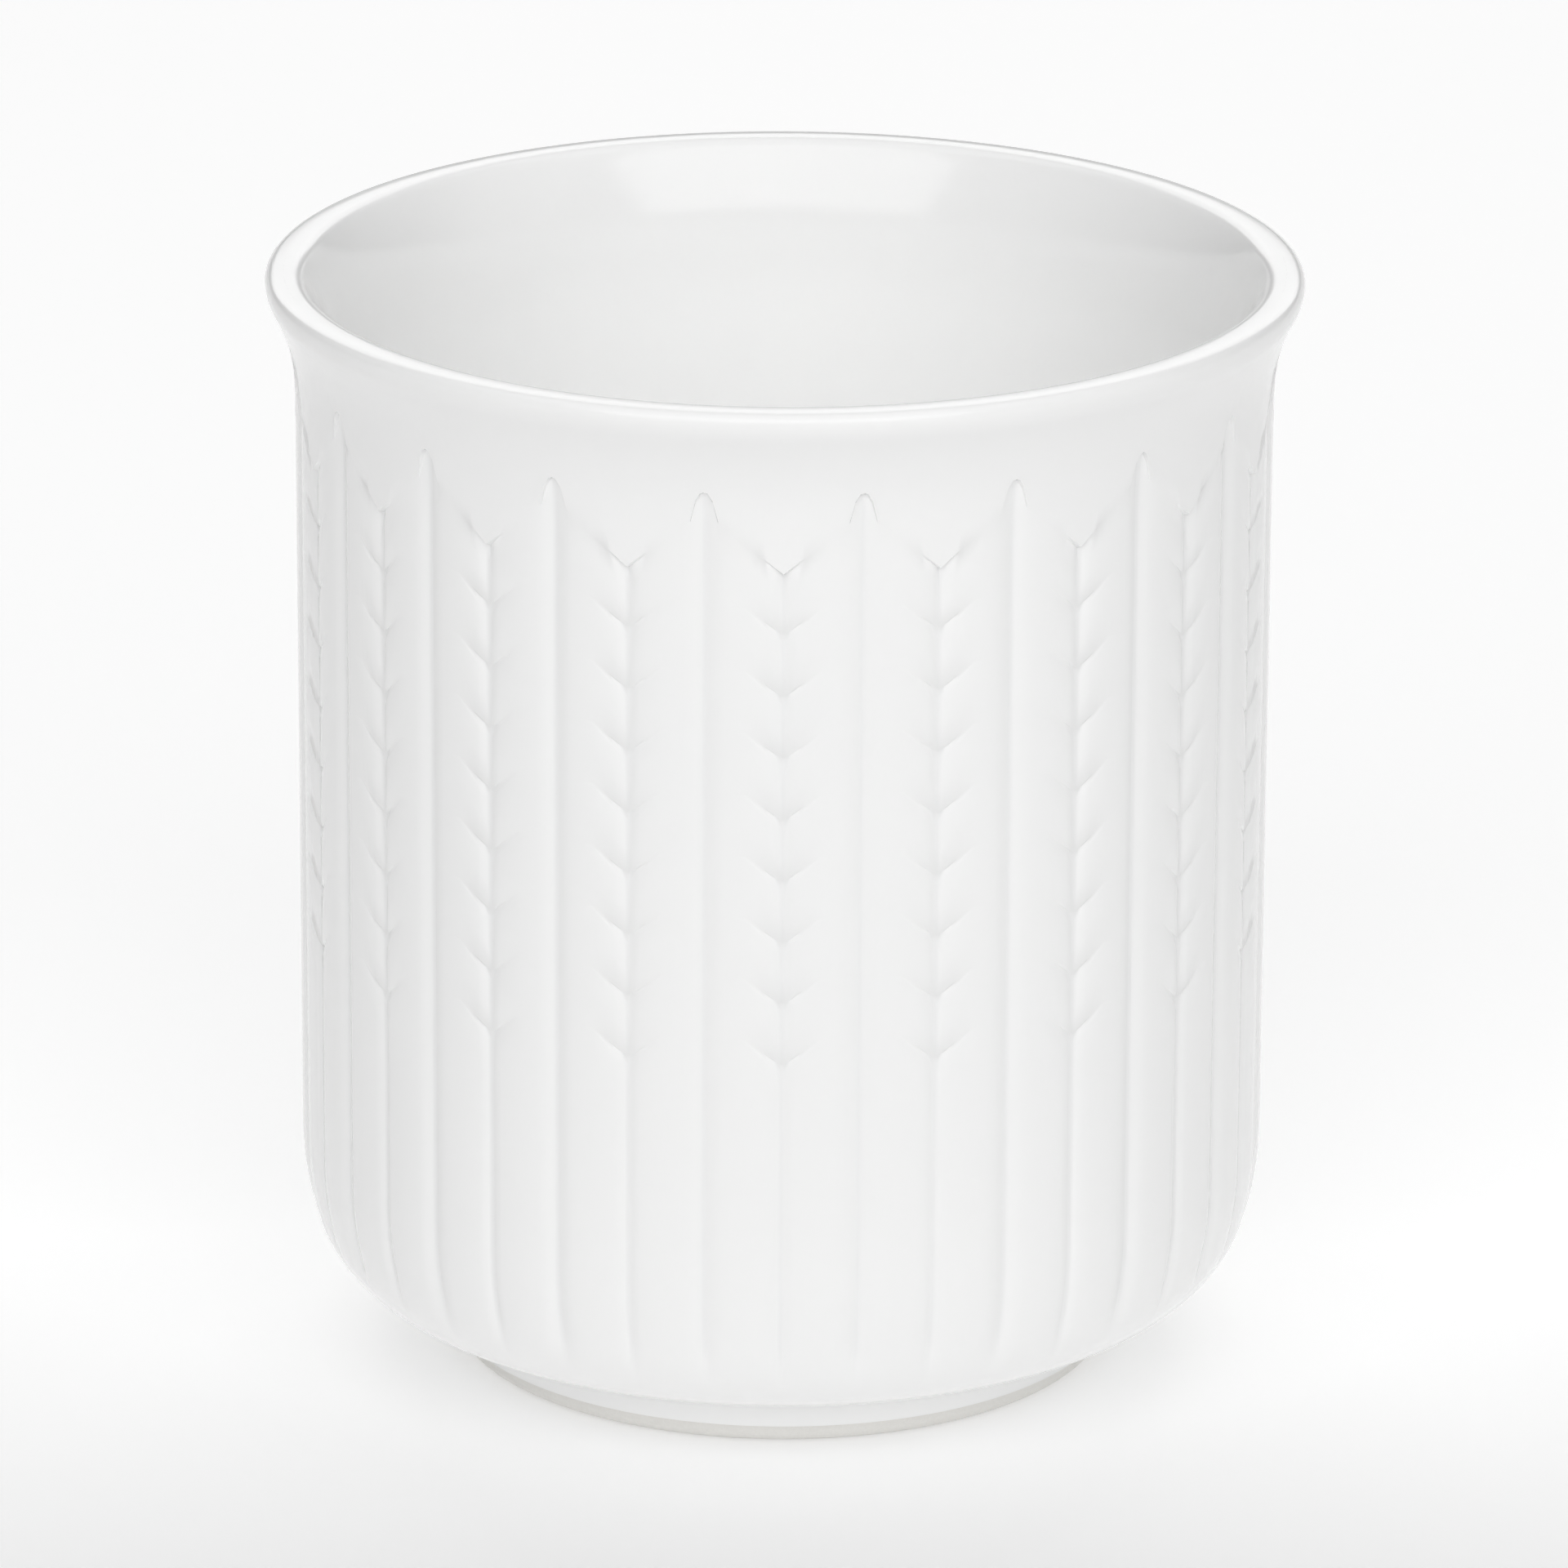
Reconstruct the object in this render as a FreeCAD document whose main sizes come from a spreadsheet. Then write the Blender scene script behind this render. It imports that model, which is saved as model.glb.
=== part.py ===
"""Pen holder cup: a fluted porcelain beaker with a rolled lip and a foot ring, under a clear glaze.

The cup is one fired clay body and three glaze coats that lie on it face to face: outside, inside, and
in the recess under the foot. The origin is the centre of the standing face, +Z runs up the cup's
axis, and lengths are in millimetres.
"""

import FreeCAD, Part
import math
import os
from types import SimpleNamespace

import Sketcher
from FreeCAD import Placement, Rotation, Vector

# Driving dimensions: alias, value, what it measures.
SIZES = [
    ("height", 98.0, "standing face to the top of the lip"),
    ("body_radius", 42.5, "axis to the crest of the fluted wall"),
    ("wall", 3.5, "finished wall, with the glaze on both sides"),
    ("glaze", 0.25, "thickness of a glaze coat"),
    ("lip_flare", 2.5, "how far the lip stands out from the wall"),
    ("lip_under", 3.15, "radius of the roll under the lip"),
    ("neck", 16.0, "radius of the hollow curve below the lip"),
    ("lip_edge", 0.85, "radius of the lip's outer edge"),
    ("lip_inside", 1.2, "radius of the lip's inner edge"),
    ("coats_meet", 1.6, "outside of the lip to where the two coats meet"),
    ("belly_top", 19.9, "height at which the wall starts to turn in"),
    ("belly_wide", 27.0, "radius of the upper turn of the belly"),
    ("belly_tight", 9.7, "radius of the lower turn of the belly"),
    ("belly_turn", 16.0, "degrees that the upper turn takes"),
    ("underside", 12.0, "degrees by which the underside climbs outwards"),
    ("foot_inset", 13.1, "crest of the wall to the outside of the foot"),
    ("foot_width", 4.0, "foot ring, outside to recess wall"),
    ("foot_round", 1.35, "radius of the foot's outer bottom edge"),
    ("foot_inner", 0.8, "radius of the foot's inner bottom edge"),
    ("foot_fillet", 0.9, "radius where the foot meets the underside"),
    ("recess", 3.2, "standing face to the recess roof"),
    ("recess_corner", 1.2, "radius between the recess wall and its roof"),
    ("floor", 4.0, "finished floor, recess roof to the inside"),
    ("bare_above", 0.35, "unglazed height above the foot's rounded bottom edge"),
    ("flutes", 20.0, "plain grooves, with as many stems between them"),
    ("flute_depth", 0.5, "crest of the wall to the bottom of a groove"),
    ("flute_half", 1.7, "half of a groove's width at that depth"),
    ("flute_gap", 0.24, "half of the least land between two grooves"),
    ("flute_drop", 7.7, "top of the lip to the plain grooves' noses"),
    ("stem_drop", 6.0, "how much lower the stems start"),
    ("run_out", 28.5, "radius on which a groove leaves the belly"),
    ("run_turn", 27.0, "degrees that the run out takes"),
]


class Size:
    """A size that knows both its value and the expression that gives it."""

    def __init__(self, value, text):
        self.value = value
        self.text = text

    def __add__(self, other):
        return Size(self.value + other.value, "(%s + %s)" % (self.text, other.text))

    def __sub__(self, other):
        return Size(self.value - other.value, "(%s - %s)" % (self.text, other.text))

    def __mul__(self, other):
        return Size(self.value * other.value, "(%s * %s)" % (self.text, other.text))

    def __truediv__(self, other):
        return Size(self.value / other.value, "(%s / %s)" % (self.text, other.text))

    def root(self):
        return Size(math.sqrt(self.value), "sqrt(%s)" % self.text)


doc = FreeCAD.newDocument("pen_holder_cup")
sheet = doc.addObject("Spreadsheet::Sheet", "sizes")
for row, (alias, value, note) in enumerate(SIZES, start=1):
    sheet.set("A%d" % row, alias)
    sheet.set("B%d" % row, str(value))
    sheet.set("C%d" % row, note)
    sheet.setAlias("B%d" % row, alias)
doc.recompute()

cup = SimpleNamespace(**{alias: Size(value, "sizes." + alias) for alias, value, note in SIZES})
NONE = Size(0.0, "0")
TWO = Size(2.0, "2")
PI = Size(math.pi, "pi")
RIGHT = 90.0
STRAIGHT = 180.0

# Places that several outlines share, worked out from the driving dimensions.
cup.half_wall = cup.wall / TWO
cup.rim_radius = cup.body_radius + cup.lip_flare
cup.foot_radius = cup.body_radius - cup.foot_inset
cup.recess_radius = cup.foot_radius - cup.foot_width
cup.foot_middle = cup.foot_radius - cup.foot_width / TWO
cup.floor_top = cup.recess + cup.floor
cup.floor_middle = cup.recess + cup.floor / TWO
cup.meet_radius = cup.rim_radius - cup.coats_meet
cup.bare_band = cup.foot_round + cup.bare_above
cup.flute_top = cup.height - cup.flute_drop
cup.flute_reach = cup.body_radius * PI / (TWO * cup.flutes) - cup.flute_gap
cup.widest = cup.height - cup.lip_edge
curves = cup.neck + cup.lip_under
cup.neck_start = cup.widest - (curves * curves - (curves - cup.lip_flare) * (curves - cup.lip_flare)).root()
cup.neck_centre = cup.body_radius + cup.neck


def polar(centre, radius, degrees):
    """The point at that angle on a circle."""
    turn = math.radians(degrees)
    return (centre[0] + radius * math.cos(turn), centre[1] + radius * math.sin(turn))


def upright(x, low, high, down=False):
    """A vertical line of an outline, read upwards unless down is set."""
    return dict(line=((x.value, low), (x.value, high)), x=x, flip=down)


def level(y, left, right, inwards=False):
    """A horizontal line of an outline, read outwards unless inwards is set."""
    return dict(line=((left, y.value), (right, y.value)), y=y, flip=inwards)


def slope(start, end, inwards=False):
    """A line that climbs outwards at the underside's angle."""
    return dict(line=(start, end), slope=cup.underside, flip=inwards)


def turn(centre, radius, start, end, flip=False, **held):
    """An arc from one angle to a larger one, in degrees, with what else holds it."""
    return dict(arc=(centre, radius.value, start, end), radius=radius, flip=flip, **held)


def belly_centres():
    """Centres of the upper and the lower turn of the belly, shared by every depth of the wall."""
    upper = (cup.body_radius.value - cup.belly_wide.value, cup.belly_top.value)
    lower = polar(upper, cup.belly_wide.value - cup.belly_tight.value, -cup.belly_turn.value)
    return upper, lower


def belly(depth, flip=False):
    """The two turns of the belly at a depth under the outside, read upwards: lower, then upper."""
    upper, lower = belly_centres()
    tight = turn(
        lower, cup.belly_tight - depth, cup.underside.value - RIGHT, -cup.belly_turn.value, flip
    )
    wide = turn(
        upper,
        cup.belly_wide - depth,
        -cup.belly_turn.value,
        0.0,
        flip,
        centre_y=cup.belly_top,
        span=cup.belly_turn,
    )
    return [tight, wide]


def underside_end(depth):
    """Where the underside's line meets the belly at a depth."""
    lower = belly_centres()[1]
    return polar(lower, (cup.belly_tight - depth).value, cup.underside.value - RIGHT)


def on_underside(depth, x):
    """Height of the underside's line at a depth and a distance from the axis."""
    end = underside_end(depth)
    return end[1] + (x - end[0]) * math.tan(math.radians(cup.underside.value))


def neck_centre():
    return (cup.neck_centre.value, cup.neck_start.value)


def outside(depth, foot_low):
    """The outside of the wall at a depth, from a height on the foot up to the lip's outer edge."""
    foot = cup.foot_radius - depth
    fillet = cup.foot_fillet + depth
    climb = cup.underside.value
    hollow_x = foot.value + fillet.value
    drop = fillet.value / math.cos(math.radians(climb))
    hollow = (hollow_x, on_underside(depth, hollow_x) - drop)
    lean = math.degrees(math.acos(1 - cup.lip_flare.value / curves.value))
    lip = (cup.rim_radius.value - cup.lip_under.value, cup.widest.value)
    edge = (cup.rim_radius.value - cup.lip_edge.value, cup.widest.value)
    return [
        upright(foot, foot_low, hollow[1]),
        turn(hollow, fillet, RIGHT + climb, STRAIGHT, True),
        slope(polar(hollow, fillet.value, RIGHT + climb), underside_end(depth)),
        *belly(depth),
        upright(cup.body_radius - depth, cup.belly_top.value, cup.neck_start.value),
        turn(neck_centre(), cup.neck + depth, STRAIGHT - lean, STRAIGHT, True),
        turn(lip, cup.lip_under - depth, -lean, 0.0, centre_y=cup.widest),
        turn(edge, cup.lip_edge - depth, 0.0, RIGHT, centre_x=cup.rim_radius - cup.lip_edge),
    ]


def inner_lip():
    """Centre of the lip's inner edge, and the angle at which it runs into the flare."""
    reach = cup.neck.value + cup.wall.value - cup.lip_inside.value
    rise = cup.height.value - cup.lip_inside.value - cup.neck_start.value
    lean = math.degrees(math.asin(rise / reach))
    return polar(neck_centre(), reach, STRAIGHT - lean), lean


def inside(depth):
    """The inside at a depth under its surface, from the lip's inner edge down to the axis."""
    centre, lean = inner_lip()
    wall = cup.wall - depth
    floor = cup.floor_top - depth
    ramp = underside_end(wall)
    ramp_foot = ramp[0] - (ramp[1] - floor.value) / math.tan(math.radians(cup.underside.value))
    return [
        turn(centre, cup.lip_inside - depth, RIGHT, STRAIGHT - lean),
        turn(neck_centre(), cup.neck + wall, STRAIGHT - lean, STRAIGHT, centre_y=cup.neck_start),
        upright(cup.body_radius - wall, cup.belly_top.value, cup.neck_start.value, True),
        *reversed(belly(wall, True)),
        slope((ramp_foot, floor.value), ramp, True),
        level(floor, 0.0, ramp_foot, True),
    ]


def recess(depth, low):
    """The recess under the foot at a depth, from the axis out and down to a height on its wall."""
    corner = (
        cup.recess_radius.value - cup.recess_corner.value,
        cup.recess.value - cup.recess_corner.value,
    )
    return [
        level(cup.recess + depth, 0.0, corner[0]),
        turn(corner, cup.recess_corner + depth, 0.0, RIGHT, True),
        upright(cup.recess_radius + depth, low, corner[1], True),
    ]


def middle(bottom):
    """The middle of the wall, from where the two coats meet down to the underside."""
    lean = math.degrees(
        math.acos((cup.neck_centre - cup.meet_radius).value / (cup.neck + cup.half_wall).value)
    )
    meet = polar(neck_centre(), (cup.neck + cup.half_wall).value, STRAIGHT - lean)
    return [
        upright(cup.meet_radius, meet[1], cup.height.value, True),
        turn(
            neck_centre(),
            cup.neck + cup.half_wall,
            STRAIGHT - lean,
            STRAIGHT,
            centre_y=cup.neck_start,
        ),
        upright(
            cup.body_radius - cup.half_wall, cup.belly_top.value, cup.neck_start.value, True
        ),
        *reversed(belly(cup.half_wall, True)),
        slope(bottom, underside_end(cup.half_wall), True),
    ]


def clay_outline():
    """The fired clay: every glazed surface lies one coat deep, and the foot's bottom is bare."""
    coat = cup.glaze
    wall = cup.recess_radius + coat
    foot = cup.foot_radius - coat
    inner = (wall.value + cup.foot_inner.value, cup.foot_inner.value)
    outer = (foot.value - cup.foot_round.value, cup.foot_round.value)
    edge = cup.rim_radius.value - cup.lip_edge.value
    return [
        *recess(coat, inner[1]),
        turn(inner, cup.foot_inner, STRAIGHT, STRAIGHT + RIGHT),
        level(NONE, inner[0], outer[0]),
        turn(outer, cup.foot_round, -RIGHT, 0.0),
        *outside(coat, outer[1]),
        level(cup.height - coat, inner_lip()[0][0], edge, True),
        *inside(coat),
        upright(NONE, (cup.recess + coat).value, (cup.floor_top - coat).value, True),
    ]


def outer_outline():
    """From the outside of the outer coat in to the middle of the clay, down to the bare band."""
    band = cup.bare_band.value
    edge = cup.rim_radius.value - cup.lip_edge.value
    foot_middle = cup.foot_middle.value
    joint = (foot_middle, on_underside(cup.half_wall, foot_middle))
    return [
        level(cup.bare_band, foot_middle, cup.foot_radius.value),
        *outside(NONE, band),
        level(cup.height, cup.meet_radius.value, edge, True),
        *middle(joint),
        upright(cup.foot_middle, band, joint[1], True),
    ]


def inner_outline():
    """From the inside of the inner coat out to the middle of the clay."""
    low = cup.floor_middle.value
    end = underside_end(cup.half_wall)
    joint_x = end[0] - (end[1] - low) / math.tan(math.radians(cup.underside.value))
    return [
        level(cup.height, inner_lip()[0][0], cup.meet_radius.value, True),
        *inside(NONE),
        upright(NONE, low, cup.floor_top.value, True),
        level(cup.floor_middle, 0.0, joint_x),
        *reversed([dict(piece, flip=not piece["flip"]) for piece in middle((joint_x, low))]),
    ]


def recess_outline():
    """From the recess coat's surface up to the middle of the clay floor and out into the foot."""
    band = cup.bare_band.value
    return [
        *recess(NONE, band),
        level(cup.bare_band, cup.recess_radius.value, cup.foot_middle.value),
        upright(cup.foot_middle, band, cup.floor_middle.value),
        level(cup.floor_middle, 0.0, cup.foot_middle.value, True),
        upright(NONE, cup.recess.value, cup.floor_middle.value, True),
    ]


def hold(sketch, constraint, size, unit=""):
    """Adds a dimension to a sketch and binds it to the sheet."""
    index = sketch.addConstraint(constraint)
    sketch.setExpression("Constraints[%d]" % index, size.text + unit)


def hold_line(sketch, index, piece):
    """Sets a line upright or level at its place, or at its slope."""
    start = 1
    if "slope" in piece:
        angle = math.radians(piece["slope"].value)
        hold(sketch, Sketcher.Constraint("Angle", index, angle), piece["slope"], " * 1 deg")
        return
    vertical = "x" in piece
    place = piece["x"] if vertical else piece["y"]
    sketch.addConstraint(Sketcher.Constraint("Vertical" if vertical else "Horizontal", index))
    if place is NONE:
        axis = -2 if vertical else -1
        sketch.addConstraint(Sketcher.Constraint("PointOnObject", index, start, axis))
        return
    kind = "DistanceX" if vertical else "DistanceY"
    hold(sketch, Sketcher.Constraint(kind, -1, 1, index, start, place.value), place)


def hold_arc(sketch, index, piece):
    """Sets an arc's radius, and the parts of its centre and its span that the outline names."""
    centre = 3
    hold(sketch, Sketcher.Constraint("Radius", index, piece["radius"].value), piece["radius"])
    for key, kind in (("centre_x", "DistanceX"), ("centre_y", "DistanceY")):
        if key in piece:
            place = piece[key]
            hold(sketch, Sketcher.Constraint(kind, -1, 1, index, centre, place.value), place)
    if "span" in piece:
        angle = math.radians(piece["span"].value)
        hold(sketch, Sketcher.Constraint("Angle", index, angle), piece["span"], " * 1 deg")


def geometry(piece):
    """The line or arc of a piece of outline."""
    if "line" in piece:
        start, end = piece["line"]
        return Part.LineSegment(Vector(start[0], start[1], 0), Vector(end[0], end[1], 0))
    centre, radius, start, end = piece["arc"]
    circle = Part.Circle(Vector(centre[0], centre[1], 0), Vector(0, 0, 1), radius)
    return Part.ArcOfCircle(circle, math.radians(start), math.radians(end))


def heading(piece, at_end):
    """The direction in which an outline passes one end of a piece."""
    if "line" in piece:
        start, end = piece["line"]
        way = Vector(end[0] - start[0], end[1] - start[1], 0).normalize()
    else:
        centre, radius, start, end = piece["arc"]
        angle = math.radians(end if at_end != piece["flip"] else start)
        way = Vector(-math.sin(angle), math.cos(angle), 0)
    return way.negative() if piece["flip"] else way


def draw(sketch, pieces, closed=True):
    """Draws an outline: its pieces in order, joined smoothly wherever they run on in one line."""
    smooth_cosine = 0.99999
    for piece in pieces:
        sketch.addGeometry(geometry(piece), False)
    last = len(pieces) - 1
    for index, piece in enumerate(pieces):
        if index == last and not closed:
            break
        follower = 0 if index == last else index + 1
        leave = 1 if piece["flip"] else 2
        enter = 2 if pieces[follower]["flip"] else 1
        way, next_way = heading(piece, True), heading(pieces[follower], False)
        both_lines = "line" in piece and "line" in pieces[follower]
        kind = "Tangent" if way.dot(next_way) > smooth_cosine and not both_lines else "Coincident"
        sketch.addConstraint(Sketcher.Constraint(kind, index, leave, follower, enter))
    for index, piece in enumerate(pieces):
        (hold_line if "line" in piece else hold_arc)(sketch, index, piece)


def origin_plane(body, role):
    """One of a body's own origin planes or axes."""
    return next(item for item in body.Origin.OriginFeatures if item.Role == role)


def meridian_sketch(body, name, degrees):
    """An empty sketch on an upright plane through the axis, at that angle round from +X."""
    sketch = body.newObject("Sketcher::SketchObject", name)
    sketch.AttachmentSupport = [(origin_plane(body, "XZ_Plane"), "")]
    sketch.MapMode = "FlatFace"
    sketch.AttachmentOffset = Placement(Vector(), Rotation(Vector(0, 1, 0), degrees))
    return sketch


def spun(label, pieces):
    """A body made by turning an outline once round the axis."""
    body = doc.addObject("PartDesign::Body", label)
    body.Label = label
    between_grooves = RIGHT / cup.flutes.value
    sketch = meridian_sketch(body, label + "_outline", between_grooves)
    draw(sketch, pieces)
    revolution = body.newObject("PartDesign::Revolution", label + "_spin")
    revolution.Profile = sketch
    revolution.ReferenceAxis = (sketch, ["V_Axis"])
    revolution.Angle = 360.0
    doc.recompute()
    return body


def flute_path(bottom, start):
    """The line that a groove's bottom follows: down the wall, then out through the belly."""
    centre = ((bottom - cup.run_out).value, cup.belly_top.value)
    return [
        upright(bottom, cup.belly_top.value, start.value, True),
        turn(
            centre,
            cup.run_out,
            -cup.run_turn.value,
            0.0,
            True,
            centre_y=cup.belly_top,
            span=cup.run_turn,
        ),
    ]


def nose_outline(bottom, start):
    """Corners of half of the nose's section, about the level line through its tip."""
    shoulder = bottom + cup.flute_reach * cup.flute_depth / cup.flute_half
    outer = shoulder + cup.flute_half
    high = start + cup.flute_reach
    return [(bottom, start), (outer, start), (outer, high), (shoulder, high)]


def polygon(sketch, places):
    """Draws a closed outline of straight lines, with every corner bound to the sheet."""
    count = len(places)
    points = [Vector(x.value, y.value, 0) for x, y in places]
    for index in range(count):
        sketch.addGeometry(Part.LineSegment(points[index], points[(index + 1) % count]), False)
    for index in range(count):
        sketch.addConstraint(
            Sketcher.Constraint("Coincident", index, 2, (index + 1) % count, 1)
        )
    for index, (x, y) in enumerate(places):
        for kind, place, axis in (("DistanceX", x, -2), ("DistanceY", y, -1)):
            if place is NONE:
                sketch.addConstraint(Sketcher.Constraint("PointOnObject", index, 1, axis))
            else:
                hold(sketch, Sketcher.Constraint(kind, -1, 1, index, 1, place.value), place)
    return points


def section_outline(bottom):
    """Corners of a groove's section: a shallow vee with upright cheeks outside the wall."""
    shoulder = bottom + cup.flute_reach * cup.flute_depth / cup.flute_half
    outer = shoulder + cup.flute_half
    reach = cup.flute_reach
    across = NONE - reach
    return [(bottom, NONE), (shoulder, reach), (outer, reach), (outer, across), (shoulder, across)]


def flute(body, name, depth, top, degrees):
    """Cuts one ring of grooves: a vee swept down the wall with a round nose, repeated round it."""
    bottom = cup.body_radius - cup.flute_depth - depth
    start = top - cup.flute_reach

    path = meridian_sketch(body, name + "_path", degrees)
    draw(path, flute_path(bottom, start), closed=False)

    section = body.newObject("Sketcher::SketchObject", name + "_section")
    section.AttachmentSupport = [(origin_plane(body, "XY_Plane"), "")]
    section.MapMode = "FlatFace"
    section.AttachmentOffset = Placement(
        Vector(0, 0, start.value), Rotation(Vector(0, 0, 1), degrees)
    )
    section.setExpression("AttachmentOffset.Base.z", start.text)
    polygon(section, section_outline(bottom))

    pipe = body.newObject("PartDesign::SubtractivePipe", name + "_sweep")
    pipe.Profile = section
    pipe.Spine = (path, [])
    doc.recompute()

    nose_sketch = meridian_sketch(body, name + "_nose_half", degrees)
    corners = polygon(nose_sketch, nose_outline(bottom, start))
    axis_line = nose_sketch.addGeometry(Part.LineSegment(corners[0], corners[1]), True)
    nose_sketch.addConstraint(Sketcher.Constraint("Coincident", axis_line, 1, 0, 1))
    nose_sketch.addConstraint(Sketcher.Constraint("Coincident", axis_line, 2, 0, 2))
    nose = body.newObject("PartDesign::Groove", name + "_nose")
    nose.Profile = nose_sketch
    nose.ReferenceAxis = (nose_sketch, ["Axis0"])
    nose.Angle = 360.0
    doc.recompute()

    ring = body.newObject("PartDesign::PolarPattern", name + "_ring")
    ring.Originals = [pipe, nose]
    ring.Axis = (origin_plane(body, "Z_Axis"), [""])
    ring.Angle = 360.0
    ring.setExpression("Occurrences", cup.flutes.text)
    body.Tip = ring
    doc.recompute()


def fluted(label, pieces, depth):
    """A spun body with both rings of grooves cut into it at a depth under the finished outside."""
    body = spun(label, pieces)
    before = body.Shape.Volume
    pitch = 360.0 / cup.flutes.value
    flute(body, label + "_stem", depth, cup.flute_top - cup.stem_drop, 0.0)
    flute(body, label + "_plain", depth, cup.flute_top, pitch / 2)
    print("%s: grooves take %.0f of %.0f mm3" % (label, before - body.Shape.Volume, before))
    return body


def coat(label, form, clay):
    """A glaze coat: what its form holds beyond the clay."""
    cut = doc.addObject("Part::Cut", label)
    cut.Label = label
    cut.Base = form
    cut.Tool = clay
    return cut


clay = fluted("porcelain_body", clay_outline(), cup.glaze)
outer_form = fluted("outer_form", outer_outline(), NONE)
inner_form = spun("inner_form", inner_outline())
recess_form = spun("recess_form", recess_outline())

pieces = [
    clay,
    coat("outer_glaze", outer_form, clay),
    coat("inner_glaze", inner_form, clay),
    coat("recess_glaze", recess_form, clay),
]
doc.recompute()

for item in doc.Objects:
    if "Invalid" in item.State or "Error" in item.State:
        raise RuntimeError("%s did not build: %s" % (item.Name, item.State))
for item in doc.findObjects("Sketcher::SketchObject"):
    if item.solve() != 0:
        raise RuntimeError("%s has constraints that cannot all be met" % item.Name)
for piece in pieces:
    if piece.Shape.isNull() or not piece.Shape.isValid() or not piece.Shape.Solids:
        raise RuntimeError("%s has no sound solid" % piece.Label)

os.makedirs("parts", exist_ok=True)
for piece in pieces:
    piece.Shape.exportStep("parts/%s.step" % piece.Label)
    box = piece.Shape.optimalBoundingBox(True, False)
    print(
        "%s: %d solid, %.1f mm3, %.2f x %.2f x %.2f mm"
        % (
            piece.Label,
            len(piece.Shape.Solids),
            piece.Shape.Volume,
            box.XLength,
            box.YLength,
            box.ZLength,
        )
    )
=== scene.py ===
# %% [markdown]
# # A fluted porcelain pen cup
#
# The real cup is one casting of white porcelain with ears of grain pressed into its wall, and a
# clear glossy glaze over everything except the ring that it stands on. This lesson builds the
# four things that make it: the pressed clay, the coat outside, the coat inside and the coat in
# the hollow under the foot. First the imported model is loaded: every place comes from its boxes.

# %% Load the cup's frame
import math

import bpy
import numpy as np
from mathutils import Euler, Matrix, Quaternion, Vector


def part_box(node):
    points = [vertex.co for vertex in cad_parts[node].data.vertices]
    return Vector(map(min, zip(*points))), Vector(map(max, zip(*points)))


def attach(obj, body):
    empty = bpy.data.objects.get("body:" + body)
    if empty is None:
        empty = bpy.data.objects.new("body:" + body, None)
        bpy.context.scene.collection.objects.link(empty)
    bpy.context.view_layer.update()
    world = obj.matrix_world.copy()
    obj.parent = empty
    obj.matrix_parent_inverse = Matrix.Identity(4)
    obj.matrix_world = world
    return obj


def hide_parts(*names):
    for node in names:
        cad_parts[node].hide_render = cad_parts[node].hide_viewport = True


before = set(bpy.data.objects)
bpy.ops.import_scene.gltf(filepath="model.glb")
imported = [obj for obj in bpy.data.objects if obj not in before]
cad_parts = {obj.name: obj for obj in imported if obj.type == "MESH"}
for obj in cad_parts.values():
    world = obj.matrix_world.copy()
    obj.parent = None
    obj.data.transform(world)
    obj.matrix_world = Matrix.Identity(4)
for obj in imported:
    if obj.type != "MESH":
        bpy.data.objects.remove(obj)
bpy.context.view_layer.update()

MM = 0.001

# %% [markdown]
# ## The sizes of the turned shape
#
# The boxes of the four nodes give the overall sizes: how wide the lip is, how thick the coats
# are, how high the floor lies. The roundings between them are the turner's own choice, so each
# has a name here and is written once.

# %% Read the sizes off the frame
outer_low, outer_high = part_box("outer_glaze")
inner_low, inner_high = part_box("inner_glaze")
recess_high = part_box("recess_glaze")[1]
clay_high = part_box("porcelain_body")[1]

cup_top = outer_high.z
lip_reach = outer_high.x
coat = cup_top - clay_high.z
coats_meet = inner_high.x
inner_floor = inner_low.z + coat
bare_height = outer_low.z
recess_reach = recess_high.x - coat
recess_roof = recess_high.z - coat
print("coat", round(coat / MM, 3), "mm, inside floor at", round(inner_floor / MM, 3), "mm")

# %% Name the roundings
lip_overhang = 2.5 * MM
wall = 3.5 * MM
foot_inset = 15.6 * MM
body_reach = lip_reach - lip_overhang
wall_inside = body_reach - wall
foot_reach = lip_reach - foot_inset
belly_top = 19.9 * MM
belly_wide = 27.0 * MM
belly_tight = 9.7 * MM
belly_turn = 16.0
underside = 12.0
foot_fillet = 0.9 * MM
foot_round = 1.35 * MM
foot_inner_round = 0.8 * MM
neck_round = 16.0 * MM
lip_under = 3.15 * MM
lip_edge = 0.85 * MM
lip_inside = 1.2 * MM
recess_corner = 1.2 * MM

# %% Work out where the neck and the belly begin
lip_centre = Vector((lip_reach - lip_under, cup_top - lip_edge))
neck_centre_reach = body_reach + neck_round
neck_turn = math.degrees(math.acos((neck_centre_reach - lip_centre.x) / (neck_round + lip_under)))
neck_start = lip_centre.y - (neck_round + lip_under) * math.sin(math.radians(neck_turn))
neck_centre = Vector((neck_centre_reach, neck_start))
neck_end = lip_centre.y - lip_under * math.sin(math.radians(neck_turn))
belly_centre = Vector((body_reach - belly_wide, belly_top))
belly_lean = Vector((math.cos(math.radians(belly_turn)), -math.sin(math.radians(belly_turn))))
heel_centre = belly_centre + (belly_wide - belly_tight) * belly_lean
heel_turn = 90.0 - underside - belly_turn
print("neck starts at", round(neck_start / MM, 2), "mm and leans", round(neck_turn, 2), "degrees")

# %% [markdown]
# ## A pen that draws with extrude and spin
#
# Turned ware is drawn as one outline from the foot to the lip. By hand in Blender that is a
# single vertex which is extruded for each straight run and spun about a centre for each
# rounding. The pen below does just that on the front of the cup, at x = 0 and y = -radius, so
# the arcs are true and tangent, and it remembers where it stands.


# %% Make the pen
def at(radius, height):
    """The point of that radius and height on the front of the cup."""
    return Vector((0.0, -radius, height))


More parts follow.
